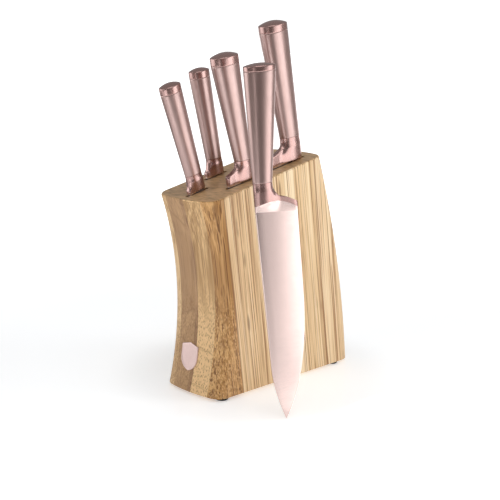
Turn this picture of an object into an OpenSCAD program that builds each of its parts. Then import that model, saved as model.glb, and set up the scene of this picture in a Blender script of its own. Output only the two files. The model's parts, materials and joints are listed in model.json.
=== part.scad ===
/* [Block] */
// Width across the two long faces
block_w = 80; // [76:1:90]
// Length of the underside
base_len = 187.5; // [184:0.5:200]
// Height of the top face above the underside, half way along
mid_h = 212.5; // [208:0.5:222]
// Rise of the top face toward the rear end, in degrees
top_slope = 12; // [10:0.5:14]
// Radius of the hollow in the front end
hollow_r = 314; // [300:1:360]
// Height of the deepest point of the hollow above the underside
hollow_h = 85.5; // [75:0.5:90]
// Radius of the swelling of the rear end
rear_r = 910; // [850:5:1000]
// Depth of the rear radius centre below the underside
rear_drop = 76; // [60:1:90]
// How far both ends bulge across the width
end_bulge = 4.7; // [3:0.1:6]
// Radius of the upright corners
corner_r = 13; // [8:0.5:14]
// Lean of the wood grain and of the glued joints in the near face, in degrees
grain_lean = 7.3; // [5:0.1:9]

/* [Slots] */
// Width of every knife slot
slot_w = 4.5; // [4.2:0.1:5]
// Distance between neighbouring slot rows
row_pitch = 22.5; // [22:0.5:24]
// Height of the closed bottom of the slots above the underside
slot_floor = 13; // [12:1:20]
// Lean of the slots and of the knives in them, in degrees
slot_lean = 10.5; // [9:0.5:11]
// Lean of the short front slot and of the paring knife, in degrees
front_slot_lean = 16.5; // [15:0.5:17]
// Free length of a slot behind the spine of its knife
spine_gap = 5; // [3:0.5:6]
// Free length of a slot in front of the edge of its knife
edge_gap = 2.5; // [2:0.5:4]

/* [Knives] */
// Blade length of the paring knife
paring_l = 88; // [80:1:95]
// Blade width of the paring knife at its heel
paring_w = 20; // [18:0.5:22]
// Blade length of the utility knife
utility_l = 125; // [110:1:135]
// Blade width of the utility knife at its heel
utility_w = 22; // [20:0.5:24]
// Blade length of the slicing knife
slicer_l = 182; // [170:1:184]
// Blade width of the slicing knife at its heel
slicer_w = 32.5; // [30:0.5:33]
// Blade length of the santoku knife
santoku_l = 172; // [160:1:176]
// Blade width of the santoku knife at its heel
santoku_w = 45; // [42:0.5:46]
// Blade length of the chef's knife
chef_l = 196.5; // [185:0.5:205]
// Blade width of the chef's knife at its heel
chef_w = 39.5; // [37:0.5:42]
// Thickness of the blades at the spine
blade_t = 2.2; // [1.8:0.1:2.6]
// Wall of the hollow handles
handle_wall = 1.2; // [0.8:0.1:1.5]

/* [Chef's knife on display] */
// Distance of its tip from the near face
display_gap = 69; // [60:0.5:100]
// Place of its tip along the block
display_x = -74.5; // [-80:0.5:-50]
// Turn of its blade about the upright, in degrees
display_turn = 156; // [140:1:170]
// Lean of its blade, in degrees
display_lean = 5; // [0:0.5:8]

/* [Feet and badge] */
// Height of the rubber feet
foot_h = 3; // [2:0.5:5]
// Diameter of the rubber feet
foot_d = 13; // [10:0.5:14]
// Width of the badge
badge_w = 23; // [18:0.5:26]
// Height of the badge
badge_h = 28; // [22:0.5:30]
// How far the badge stands out of the wood
badge_t = 1.2; // [0.8:0.1:2]

/* [Hidden] */

half_w = block_w / 2;
half_slot = slot_w / 2;
ring_fn = 360;
part_fn = 48;
hull_fn = 32;

// Centres of the two end radii, seen from the long side
front_x = -base_len / 2 - sqrt(hollow_r * hollow_r - hollow_h * hollow_h);
rear_x = base_len / 2 - sqrt(rear_r * rear_r - rear_drop * rear_drop);

// Plan of the ends: a wide arc with a tangent arc at each corner
bulge_r = (half_w * half_w + end_bulge * end_bulge) / (2 * end_bulge);
corner_y = half_w - corner_r;
corner_back = end_bulge - bulge_r + sqrt(pow(bulge_r - corner_r, 2) - corner_y * corner_y);
tangent_y = corner_y * bulge_r / (bulge_r - corner_r);
end_reach = 220;
end_depth = 40;
past = 150;

// Glued joints of the near face, at the underside
front_joint_x = -base_len / 2 + 31.5;
rear_joint_x = base_len / 2 - 32.7;

// Slots: place on the top face of each knife's spine
paring_x = -75.8;
utility_x = -31.4;
slicer_x = -33.8;
santoku_x = 32.3;
chef_slot_x = 32;
seat_gap = 0.3;
// Outer sides of the first and last strip of a row, as [place on the top face, lean]
outer_front = [-past, 0];
outer_rear = [past, 0];

// Handles: [length, neck half height, butt half height, bolster height, cap height]
small_handle = [80, 8.7, 11, 17.5, 9.2];
slicer_handle_size = [91.3, 9.2, 14.6, 21, 10.8];
santoku_handle_size = [103, 11.1, 15.4, 25, 10.3];
chef_handle_size = [94.5, 8.8, 14.2, 23, 6.8];
// Thickness of the handles as a share of their height
handle_flat = 0.75;
// Cap: least height of its straight band, height of the rounded rim, and dome height as a
// share of the cap's half height
cap_band_min = 3.5;
cap_rim_h = 1.3;
dome_share = 0.2;
// Sizes of the ovals at the rim, halfway up the dome and at its top, as shares
rim_oval = 0.965;
mid_oval = 0.72;
top_oval = 0.35;
// Short plug of the cap inside the handle
plug_h = 5;
plug_gap = 0.8;
plug_shift = 0.3;
// Height at which the bolsters have thinned to their heel plate, and the plate's thickness
shelf_h = 8;
bolster_edge_t = 5.2;
// Heights of the heel plates at the edge of the blade
paring_heel_h = 4.5;
utility_heel_h = 5.8;
slicer_heel_h = 9.8;
santoku_heel_h = 10.2;
chef_heel_h = 3.3;
// How far the foot of the chef's bolster reaches down, at the spine and at the edge
chef_spine_low = 2.4;
chef_edge_low = 5.7;
chef_tip_drop = 13.5;
chef_tip_gap = 0.3;
tang_w = 6;
tang_reach = 40;
tang_play = 0.05;
// Thickness of the ovals that handles and caps are drawn between
oval_t = 0.01;

// Feet, screws and badge
foot_front_x = -83;
foot_rear_x = 75;
foot_y = 31.5;
screw_r = 1.6;
screw_play = 0.05;
screw_l = 13;
screw_tip_gap = 1;
foot_taper = 1;
foot_round_r = 0.4;
foot_round_h = 0.8;
head_play = 0.3;
head_r = 3;
head_h = 1.2;
head_recess = 0.8;
badge_y = 6;
badge_z = 33;

// Height of the top face above the underside
function top_z(x) = mid_h + x * tan(top_slope);

// Place at height z of a slot wall that meets the top face at x
function wall_x(x, lean, z) = x + (top_z(x) - z) * tan(lean);

// Points of a curve from a to c, pulled toward b
function curve(a, b, c, n) =
    [for (i = [0 : n]) let (t = i / n) (1 - t) * (1 - t) * a + 2 * t * (1 - t) * b + t * t * c];

// ---------- block ----------

// Plan outline of one end; side is 1 where the wood lies inside the radius and -1 outside
module end_outline(r, side) {
    translate([r, 0]) {
        intersection() {
            translate([side * (end_bulge - bulge_r), 0])
                circle(r = bulge_r, $fn = ring_fn);
            translate([side > 0 ? corner_back : -corner_back - end_depth, -tangent_y])
                square([end_depth, 2 * tangent_y]);
        }
        for (y = [-corner_y, corner_y])
            translate([side * corner_back, y])
                circle(r = corner_r, $fn = 96);
        translate([side > 0 ? corner_back - end_reach : -corner_back, -half_w])
            square([end_reach, block_w]);
    }
}

// Ring whose rounded edge is one end of the block
module end_ring(centre_x, centre_z, r, side) {
    translate([centre_x, 0, centre_z])
        rotate([90, 0, 0])
            rotate_extrude($fn = ring_fn)
                end_outline(r, side);
}

// Prism across the width with the given outline seen from the long side
module across(points) {
    rotate([90, 0, 0])
        linear_extrude(2 * block_w, center = true)
            polygon(points);
}

// The whole block: hollow front end, swelling rear end, sloping top
module block_form() {
    intersection() {
        end_ring(front_x, hollow_h, hollow_r, -1);
        end_ring(rear_x, -rear_drop, rear_r, 1);
        across([[-past, 0], [past, 0], [past, top_z(past)], [-past, top_z(-past)]]);
    }
}

// Layer of the block between two upright planes
module layer(y_low, y_high) {
    intersection() {
        block_form();
        translate([-past, y_low, -1])
            cube([2 * past, y_high - y_low, 2 * past]);
    }
}

// Pilot holes for the foot screws
module screw_holes() {
    for (x = [foot_front_x, foot_rear_x])
        for (y = [-foot_y, foot_y])
            translate([x, y, -1])
                cylinder(r = screw_r + screw_play, h = screw_l + 1, $fn = part_fn);
}

// Part of the near outer layer between two leaning joints
module near_outer_part(joint_a, joint_b) {
    drift = 2 * past * tan(grain_lean);
    difference() {
        intersection() {
            layer(-half_w - 1, -row_pitch - half_slot);
            across([
                [joint_a, 0], [joint_b, 0],
                [joint_b - drift, 2 * past], [joint_a - drift, 2 * past]
            ]);
        }
        screw_holes();
    }
}

module near_front_stave() {
    color([0.66, 0.48, 0.28])
        near_outer_part(-past, front_joint_x);
}

module near_face_board() {
    color([0.90, 0.76, 0.56])
        near_outer_part(front_joint_x, rear_joint_x);
}

module near_rear_stave() {
    color([0.85, 0.69, 0.47])
        near_outer_part(rear_joint_x, past);
}

module near_core_board() {
    color([0.76, 0.60, 0.38])
        layer(-row_pitch + half_slot, -half_slot);
}

module far_core_board() {
    color([0.70, 0.54, 0.36])
        layer(half_slot, row_pitch - half_slot);
}

module far_outer_board() {
    color([0.86, 0.71, 0.49])
        difference() {
            layer(row_pitch + half_slot, half_w + 1);
            screw_holes();
        }
}

// Strip between two slots; wall_a and wall_b are [place on the top face, lean]
module slot_strip(row_y, wall_a, wall_b) {
    z_low = slot_floor;
    z_high = 2 * past;
    intersection() {
        layer(row_y - half_slot, row_y + half_slot);
        across([
            [wall_x(wall_a[0], wall_a[1], z_low), z_low],
            [wall_x(wall_b[0], wall_b[1], z_low), z_low],
            [wall_x(wall_b[0], wall_b[1], z_high), z_high],
            [wall_x(wall_a[0], wall_a[1], z_high), z_high]
        ]);
    }
}

// Strip that closes the slots of one row at the bottom
module base_strip(row_y) {
    intersection() {
        layer(row_y - half_slot, row_y + half_slot);
        translate([-past, -half_w, -1])
            cube([2 * past, block_w, slot_floor + 1]);
    }
}

// Front and rear wall of a knife's slot, as [place on the top face, lean]
function front_wall(x, width, lean) = [x - (width + edge_gap) * cos(lean), lean];
function rear_wall(x, lean) = [x + spine_gap, lean];

module near_strip_front() {
    color([0.62, 0.46, 0.30])
        slot_strip(-row_pitch, outer_front, front_wall(slicer_x, slicer_w, slot_lean));
}

module near_strip_middle() {
    color([0.62, 0.46, 0.30])
        slot_strip(-row_pitch, rear_wall(slicer_x, slot_lean),
            front_wall(santoku_x, santoku_w, slot_lean));
}

module near_strip_rear() {
    color([0.62, 0.46, 0.30])
        slot_strip(-row_pitch, rear_wall(santoku_x, slot_lean), outer_rear);
}

module near_strip_base() {
    color([0.62, 0.46, 0.30])
        base_strip(-row_pitch);
}

module centre_strip_front() {
    color([0.55, 0.40, 0.26])
        slot_strip(0, outer_front, front_wall(paring_x, paring_w, front_slot_lean));
}

module centre_strip_rear() {
    color([0.55, 0.40, 0.26])
        slot_strip(0, rear_wall(paring_x, front_slot_lean), outer_rear);
}

module centre_strip_base() {
    color([0.55, 0.40, 0.26])
        base_strip(0);
}

module far_strip_front() {
    color([0.62, 0.46, 0.30])
        slot_strip(row_pitch, outer_front, front_wall(utility_x, utility_w, slot_lean));
}

module far_strip_middle() {
    color([0.62, 0.46, 0.30])
        slot_strip(row_pitch, rear_wall(utility_x, slot_lean),
            front_wall(chef_slot_x, chef_w, slot_lean));
}

module far_strip_rear() {
    color([0.62, 0.46, 0.30])
        slot_strip(row_pitch, rear_wall(chef_slot_x, slot_lean), outer_rear);
}

module far_strip_base() {
    color([0.62, 0.46, 0.30])
        base_strip(row_pitch);
}

// ---------- feet and badge ----------

module at_feet() {
    for (x = [foot_front_x, foot_rear_x])
        for (y = [-foot_y, foot_y])
            translate([x, y, -foot_h])
                children();
}

module rubber_feet() {
    color([0.08, 0.08, 0.08])
        at_feet()
            difference() {
                rotate_extrude($fn = part_fn)
                    polygon([
                        [0, 0], [foot_d / 2 - foot_taper, 0],
                        [foot_d / 2 - foot_round_r, foot_round_h],
                        [foot_d / 2, foot_h], [0, foot_h]
                    ]);
                translate([0, 0, -1])
                    cylinder(r = head_r + head_play, h = head_recess + head_h + 1, $fn = part_fn);
                cylinder(r = screw_r + 2 * screw_play, h = foot_h + 1, $fn = part_fn);
            }
}

module foot_screws() {
    color([0.60, 0.60, 0.62])
        at_feet() {
            translate([0, 0, head_recess])
                cylinder(r = head_r, h = head_h, $fn = part_fn);
            translate([0, 0, head_recess])
                cylinder(r = screw_r, h = foot_h + screw_l - head_recess - screw_tip_gap,
                    $fn = part_fn);
        }
}

// Shield outline in the plane of the badge
module shield_outline() {
    side = badge_w / 2;
    low = -badge_h / 2;
    shoulder = badge_h * 0.4;
    peak = badge_h / 2;
    right = concat(
        [[0, peak], [side, shoulder]],
        curve([side, 0], [side, low * 0.75], [0, low], 8)
    );
    left = [for (i = [len(right) - 2 : -1 : 1]) [-right[i][0], right[i][1]]];
    polygon(concat(right, left));
}

module badge() {
    tilt = asin((hollow_h - badge_z) / hollow_r);
    face_x = front_x + sqrt(pow(hollow_r, 2) - pow(hollow_h - badge_z, 2)) - end_bulge;
    color([0.86, 0.76, 0.78])
        difference() {
            translate([face_x - badge_t, badge_y, badge_z])
                rotate([0, tilt, 0])
                    rotate([90, 0, 90])
                        linear_extrude(badge_t + 2)
                            shield_outline();
            block_form();
        }
}

// ---------- knives ----------
// In a knife's own frame x runs from the edge (minus) to the spine (0), z runs up the
// spine and the bolster stands on z = 0.

// Blade outline of a pointed knife. The spine is straight down to spine[0] of the length, where
// it has dropped by fall, and then curves to the tip, pulled toward spine[1] of the length.
// The edge leaves the tip and comes back to full width in the same way, given by belly.
// spine_low and edge_low are how far its top lies below the bolster's own zero.
module pointed_outline(length, width, tip_drop, spine, belly, fall = 0,
        spine_low = 0, edge_low = 0) {
    tip = [-tip_drop, -length];
    polygon(concat(
        [[0, -spine_low]],
        curve([-fall, -length * spine[0]],
            [-fall * spine[1] / spine[0], -length * spine[1]], tip, 10),
        curve(tip, [-width, -length * belly[1]], [-width, -length * belly[0]], 12),
        [[-width, -edge_low]]
    ));
}

// Blade outline of a santoku: the spine turns down to the edge, which is nearly straight
module santoku_outline(length, width) {
    polygon(concat(
        [[0, 0]],
        curve([0, -length * 0.74], [0, -length], [-width * 0.82, -length], 12),
        curve([-width * 0.82, -length], [-width * 0.98, -length * 0.97],
            [-width, -length * 0.55], 8),
        [[-width, 0]]
    ));
}

// Blade ground to a wedge, with a flat tang that runs up into the handle
module blade(width, size, tip_reach, edge_low = 0) {
    neck = size[1];
    color([0.86, 0.74, 0.74]) {
        intersection() {
            rotate([90, 0, 0])
                linear_extrude(blade_t + 1, center = true)
                    children();
            translate([0, 0, -tip_reach])
                linear_extrude(tip_reach + 1)
                    polygon([
                        [1, blade_t / 2], [1, -blade_t / 2], [-width * 0.3, -blade_t / 2],
                        [-width - 1, -0.1], [-width - 1, 0.1], [-width * 0.3, blade_t / 2]
                    ]);
        }
        translate([-neck - tang_w / 2, -blade_t / 2, -edge_low])
            cube([tang_w, blade_t, edge_low + size[3] + tang_reach]);
    }
}

module oval(half_h, thick = oval_t) {
    scale([half_h, half_h * handle_flat, 1])
        cylinder(r = 1, h = thick, $fn = hull_fn);
}

// Polished neck: an oval at the handle that thins and spreads to the heel
module bolster(width, size, heel_h, spine_low = 0, edge_low = 0) {
    neck = size[1];
    high = size[3];
    half_t = neck * handle_flat;
    spread = width - 2 * neck;
    side = concat(
        [[0, -spine_low], [0, high * 0.35], [-0.2, high]],
        [[-2 * neck, high]],
        curve([-2 * neck, high * 0.9], [-2 * neck - min(1.9, 0.25 * spread), heel_h + 3],
            [-width + min(2, 0.3 * spread), heel_h + 0.6], 10),
        curve([-width + min(1.9, 0.28 * spread), heel_h + 0.5], [-width, heel_h + 0.2],
            [-width, heel_h - 1.8], 4),
        [[-width, -edge_low]]
    );
    right = concat(
        [[half_t, high]],
        curve([half_t, high * 0.8], [half_t, shelf_h], [bolster_edge_t / 2, 0], 8),
        [[bolster_edge_t / 2, -edge_low - 1]]
    );
    left = [for (i = [len(right) - 1 : -1 : 0]) [-right[i][0], right[i][1]]];
    color([0.78, 0.60, 0.57])
        difference() {
            intersection() {
                rotate([90, 0, 0])
                    linear_extrude(4 * half_t, center = true)
                        polygon(side);
                rotate([90, 0, 90])
                    linear_extrude(2 * width + 40, center = true)
                        polygon(concat(right, left));
                hull() {
                    translate([-neck, 0, high])
                        oval(neck);
                    translate([-width - 1, -bolster_edge_t / 2 - 0.5, -edge_low - 2])
                        cube([width + 2, bolster_edge_t + 1, max(shelf_h, heel_h + 1) + edge_low + 2]);
                }
            }
            translate([-neck - tang_w / 2 - tang_play, -blade_t / 2 - tang_play, -edge_low - 1])
                cube([tang_w + 2 * tang_play, blade_t + 2 * tang_play, high + edge_low + 2]);
        }
}

// Hollow handle that widens toward the butt
module handle(size) {
    length = size[0];
    neck = size[1];
    butt = size[2];
    color([0.80, 0.64, 0.60])
        translate([0, 0, size[3]])
            difference() {
                hull() {
                    translate([-neck, 0, 0])
                        oval(neck);
                    translate([-butt, 0, length - oval_t])
                        oval(butt);
                }
                hull() {
                    translate([-neck, 0, -oval_t])
                        oval(neck - handle_wall / handle_flat);
                    translate([-butt, 0, length])
                        oval(butt - handle_wall / handle_flat);
                }
            }
}

// Polished band and slightly domed end of the handle, with a short plug inside it
module cap(size) {
    butt = size[2];
    cap_h = size[4];
    dome_h = min(dome_share * butt, cap_h - cap_band_min - cap_rim_h);
    color([0.74, 0.55, 0.53])
        translate([-butt, 0, size[3] + size[0]]) {
            hull() {
                oval(butt, cap_h - dome_h - cap_rim_h);
                translate([0, 0, cap_h - dome_h])
                    oval(butt * rim_oval);
                translate([0, 0, cap_h - dome_h * mid_oval * mid_oval])
                    oval(butt * mid_oval);
                translate([0, 0, cap_h - oval_t])
                    oval(butt * top_oval);
            }
            translate([plug_shift, 0, -plug_h])
                oval(butt - handle_wall / handle_flat - plug_gap, plug_h + 0.5);
        }
}

// Lift that keeps a leaning bolster clear of the sloping top face
function seat_rise(width, lean) =
    seat_gap + max(0, width * (sin(lean) - cos(lean) * tan(top_slope)));

// Puts a knife into its slot
module in_slot(x, y, width, lean) {
    translate([x, y, top_z(x) + seat_rise(width, lean)])
        rotate([0, -lean, 0])
            children();
}

module paring_place() {
    in_slot(paring_x, 0, paring_w, front_slot_lean)
        children();
}

module utility_place() {
    in_slot(utility_x, row_pitch, utility_w, slot_lean)
        children();
}

module slicer_place() {
    in_slot(slicer_x, -row_pitch, slicer_w, slot_lean)
        children();
}

module santoku_place() {
    in_slot(santoku_x, -row_pitch, santoku_w, slot_lean)
        children();
}

// The chef's knife stands on its tip in front of the near face
module chef_place() {
    translate([display_x, -half_w - display_gap, chef_tip_gap - foot_h])
        rotate([0, display_lean, display_turn])
            translate([chef_tip_drop, 0, chef_l])
                children();
}

module paring_blade() {
    paring_place()
        blade(paring_w, small_handle, paring_l)
            pointed_outline(paring_l, paring_w, tip_drop = 3, spine = [0.45, 0.69],
                belly = [0.4, 0.69]);
}

module paring_bolster() {
    paring_place()
        bolster(paring_w, small_handle, paring_heel_h);
}

module paring_handle() {
    paring_place()
        handle(small_handle);
}

module paring_cap() {
    paring_place()
        cap(small_handle);
}

module utility_blade() {
    utility_place()
        blade(utility_w, small_handle, utility_l)
            pointed_outline(utility_l, utility_w, tip_drop = 5, spine = [0.5, 0.71],
                belly = [0.4, 0.69]);
}

module utility_bolster() {
    utility_place()
        bolster(utility_w, small_handle, utility_heel_h);
}

module utility_handle() {
    utility_place()
        handle(small_handle);
}

module utility_cap() {
    utility_place()
        cap(small_handle);
}

module slicer_blade() {
    slicer_place()
        blade(slicer_w, slicer_handle_size, slicer_l)
            pointed_outline(slicer_l, slicer_w, tip_drop = 9, spine = [0.65, 0.8],
                belly = [0.6, 0.79]);
}

module slicer_bolster() {
    slicer_place()
        bolster(slicer_w, slicer_handle_size, slicer_heel_h);
}

module slicer_handle() {
    slicer_place()
        handle(slicer_handle_size);
}

module slicer_cap() {
    slicer_place()
        cap(slicer_handle_size);
}

module santoku_blade() {
    santoku_place()
        blade(santoku_w, santoku_handle_size, santoku_l)
            santoku_outline(santoku_l, santoku_w);
}

module santoku_bolster() {
    santoku_place()
        bolster(santoku_w, santoku_handle_size, santoku_heel_h);
}

module santoku_handle() {
    santoku_place()
        handle(santoku_handle_size);
}

module santoku_cap() {
    santoku_place()
        cap(santoku_handle_size);
}

module chef_blade() {
    chef_place()
        blade(chef_w, chef_handle_size, chef_l, chef_edge_low)
            pointed_outline(chef_l, chef_w, tip_drop = chef_tip_drop, spine = [0.74, 0.85],
                belly = [0.4, 0.8], fall = 3, spine_low = chef_spine_low,
                edge_low = chef_edge_low);
}

module chef_bolster() {
    chef_place()
        bolster(chef_w, chef_handle_size, chef_heel_h, chef_spine_low, chef_edge_low);
}

module chef_handle() {
    chef_place()
        handle(chef_handle_size);
}

module chef_cap() {
    chef_place()
        cap(chef_handle_size);
}

near_front_stave();
near_face_board();
near_rear_stave();
near_core_board();
far_core_board();
far_outer_board();
near_strip_front();
near_strip_middle();
near_strip_rear();
near_strip_base();
centre_strip_front();
centre_strip_rear();
centre_strip_base();
far_strip_front();
far_strip_middle();
far_strip_rear();
far_strip_base();
rubber_feet();
foot_screws();
badge();
paring_blade();
paring_bolster();
paring_handle();
paring_cap();
utility_blade();
utility_bolster();
utility_handle();
utility_cap();
slicer_blade();
slicer_bolster();
slicer_handle();
slicer_cap();
santoku_blade();
santoku_bolster();
santoku_handle();
santoku_cap();
chef_blade();
chef_bolster();
chef_handle();
chef_cap();
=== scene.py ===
import json
import math

import bmesh
import bpy
import numpy as np
from mathutils import Matrix, Vector

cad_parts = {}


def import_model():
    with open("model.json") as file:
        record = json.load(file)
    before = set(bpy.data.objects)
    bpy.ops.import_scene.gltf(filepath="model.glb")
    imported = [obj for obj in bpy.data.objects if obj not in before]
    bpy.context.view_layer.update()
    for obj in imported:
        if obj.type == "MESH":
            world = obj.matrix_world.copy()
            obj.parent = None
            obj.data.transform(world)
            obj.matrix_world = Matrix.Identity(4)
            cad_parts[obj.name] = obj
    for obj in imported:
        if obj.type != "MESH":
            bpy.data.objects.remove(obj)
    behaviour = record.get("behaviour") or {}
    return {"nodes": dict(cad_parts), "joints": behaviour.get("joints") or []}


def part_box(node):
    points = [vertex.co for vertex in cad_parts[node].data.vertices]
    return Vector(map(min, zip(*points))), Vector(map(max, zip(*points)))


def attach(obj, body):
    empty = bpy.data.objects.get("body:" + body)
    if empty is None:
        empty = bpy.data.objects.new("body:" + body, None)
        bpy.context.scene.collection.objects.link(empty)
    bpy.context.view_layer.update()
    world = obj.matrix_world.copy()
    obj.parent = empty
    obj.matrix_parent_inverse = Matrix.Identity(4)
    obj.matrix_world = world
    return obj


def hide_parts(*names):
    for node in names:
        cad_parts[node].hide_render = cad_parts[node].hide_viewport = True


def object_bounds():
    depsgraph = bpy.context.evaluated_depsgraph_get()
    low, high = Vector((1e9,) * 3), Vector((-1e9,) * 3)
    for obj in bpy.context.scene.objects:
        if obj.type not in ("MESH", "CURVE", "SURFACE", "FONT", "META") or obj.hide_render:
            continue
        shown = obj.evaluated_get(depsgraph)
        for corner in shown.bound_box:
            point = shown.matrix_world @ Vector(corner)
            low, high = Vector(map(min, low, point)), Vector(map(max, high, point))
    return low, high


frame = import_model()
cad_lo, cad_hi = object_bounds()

MM = 0.001
NODES = frame["nodes"]
JOINTS = {j["name"]: j for j in frame["joints"]}


# ---------------------------------------------------------------- the block's form, in mm
HALF_W = 40.0
BASE_LEN = 187.5
MID_H = 212.5
TOP_SLOPE = math.radians(12)
HOLLOW_R = 314.0
HOLLOW_H = 85.5
REAR_R = 910.0
REAR_DROP = 76.0
END_BULGE = 4.7
CORNER_R = 13.0
GRAIN_LEAN = math.radians(7.3)
SLOT_W = 4.5
ROW_PITCH = 22.5
SLOT_FLOOR = 13.0
FRONT_X = -BASE_LEN / 2 - math.sqrt(HOLLOW_R**2 - HOLLOW_H**2)
REAR_X = BASE_LEN / 2 - math.sqrt(REAR_R**2 - REAR_DROP**2)
BULGE_R = (HALF_W**2 + END_BULGE**2) / (2 * END_BULGE)
CORNER_Y = HALF_W - CORNER_R
CORNER_BACK = END_BULGE - BULGE_R + math.sqrt((BULGE_R - CORNER_R) ** 2 - CORNER_Y**2)
CORNER_A = math.asin(((CORNER_Y * BULGE_R / (BULGE_R - CORNER_R)) - CORNER_Y) / CORNER_R)
FRONT_JOINT = -BASE_LEN / 2 + 31.5
REAR_JOINT = BASE_LEN / 2 - 32.7
RIM_R = 1.8
RIM_FLAT = 0.7    # narrow flat ring between the rounded rim and the top face
FOOT_EDGE = 0.4


def top_z(x):
    return MID_H + x * math.tan(TOP_SLOPE)


def bulge(y, inset):
    """How far the end's plan outline stands out at y, with the outline drawn in by inset."""
    a = abs(y)
    if a <= CORNER_Y + (CORNER_R - inset) * math.sin(CORNER_A):
        return END_BULGE - BULGE_R + math.sqrt((BULGE_R - inset) ** 2 - y * y)
    return CORNER_BACK + math.sqrt(max(0.0, (CORNER_R - inset) ** 2 - (a - CORNER_Y) ** 2))


def front_end(y, z, inset):
    return FRONT_X + math.sqrt((HOLLOW_R - bulge(y, inset)) ** 2 - (z - HOLLOW_H) ** 2)


def rear_end(y, z, inset):
    return REAR_X + math.sqrt((REAR_R + bulge(y, inset)) ** 2 - (z + REAR_DROP) ** 2)


def slot_wall(x_top, lean):
    """Slot wall that meets the top face at x_top."""
    z0 = top_z(x_top)
    return lambda y, z, inset: x_top + (z0 - z) * math.tan(lean)


def end_ys(y0, y1, inset):
    """Places across the width along an end, from y1 down to y0, close together at a corner."""
    turn = np.linspace(math.pi / 2, CORNER_A, 11)[:-1]
    corner = [CORNER_Y + (CORNER_R - inset) * math.sin(a) for a in turn]
    edge = CORNER_Y + (CORNER_R - inset) * math.sin(CORNER_A)
    ys = list(corner) if y1 > edge else []
    ys += list(np.linspace(min(y1, edge), max(y0, -edge), 7))
    if y0 < -edge:
        ys += [-y for y in reversed(corner)]
    return ys


# ---------------------------------------------------------------- meshes
def make_mesh(name, verts, faces, mats, face_mats=None, sharp=32.0, weighted=True):
    """A smooth shaded object from verts in mm, with edges over sharp degrees kept hard."""
    mesh = bpy.data.meshes.new(name)
    mesh.from_pydata([tuple(c * MM for c in v) for v in verts], [], faces)
    for m in mats:
        mesh.materials.append(m)
    if face_mats is not None:
        for p, k in zip(mesh.polygons, face_mats):
            p.material_index = k
    bm = bmesh.new()
    bm.from_mesh(mesh)
    bmesh.ops.remove_doubles(bm, verts=bm.verts, dist=1e-7)
    bmesh.ops.dissolve_degenerate(bm, edges=bm.edges, dist=1e-7)
    bmesh.ops.recalc_face_normals(bm, faces=bm.faces)
    bm.to_mesh(mesh)
    bm.free()
    mesh.polygons.foreach_set("use_smooth", [True] * len(mesh.polygons))
    mesh.set_sharp_from_angle(angle=math.radians(sharp))
    obj = bpy.data.objects.new(name, mesh)
    bpy.context.scene.collection.objects.link(obj)
    if weighted:
        mod = obj.modifiers.new("weights", "WEIGHTED_NORMAL")
        mod.keep_sharp = True
        mod.weight = 60
    return obj


def loft(rings):
    """Verts and faces of a closed skin through rings of the same number of points."""
    n = len(rings[0])
    verts = [p for r in rings for p in r]
    faces = []
    for k in range(len(rings) - 1):
        for i in range(n):
            j = (i + 1) % n
            faces.append((k * n + i, k * n + j, (k + 1) * n + j, (k + 1) * n + i))
    faces.append(tuple(reversed(range(n))))
    faces.append(tuple((len(rings) - 1) * n + i for i in range(n)))
    return verts, faces


def board_ring(y0, y1, front, rear, inset, height):
    """One closed loop round a board; height(x) gives z. front and rear are functions of y, z, inset."""
    ya, yb = max(y0, -(HALF_W - inset)), min(y1, HALF_W - inset)
    ys = end_ys(y0, y1, inset)
    shares = np.linspace(0, 1, 14)[1:-1]

    def settle(x_of_z):
        """The end leans and the top slopes, so x and z are found in turns."""
        z = height(0.0)
        for _ in range(14):
            x = x_of_z(z)
            z = height(x)
        return x, z

    ring = []
    for y in ys:
        x, z = settle(lambda z: front(y, z, inset))
        ring.append((x, y, z))
    for u in shares:
        x, z = settle(lambda z: front(ya, z, inset) * (1 - u) + rear(ya, z, inset) * u)
        ring.append((x, ya, z))
    for y in reversed(ys):
        x, z = settle(lambda z: rear(y, z, inset))
        ring.append((x, y, z))
    for u in reversed(shares):
        x, z = settle(lambda z: front(yb, z, inset) * (1 - u) + rear(yb, z, inset) * u)
        ring.append((x, yb, z))
    return ring


def keep_between(obj, joints):
    """Cuts a board along leaning joints and keeps the side given by each (x at the underside, side)."""
    bm = bmesh.new()
    bm.from_mesh(obj.data)
    for x_base, side in joints:
        res = bmesh.ops.bisect_plane(
            bm, geom=bm.verts[:] + bm.edges[:] + bm.faces[:], dist=1e-7,
            plane_co=(x_base * MM, 0, 0), plane_no=(math.cos(GRAIN_LEAN), 0, math.sin(GRAIN_LEAN)),
            clear_outer=side < 0, clear_inner=side > 0)
        rim = [e for e in res["geom_cut"] if isinstance(e, bmesh.types.BMEdge)]
        bmesh.ops.edgeloop_fill(bm, edges=rim)
    bmesh.ops.recalc_face_normals(bm, faces=bm.faces)
    bm.to_mesh(obj.data)
    bm.free()
    obj.data.polygons.foreach_set("use_smooth", [True] * len(obj.data.polygons))
    obj.data.set_sharp_from_angle(angle=math.radians(32))


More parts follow.
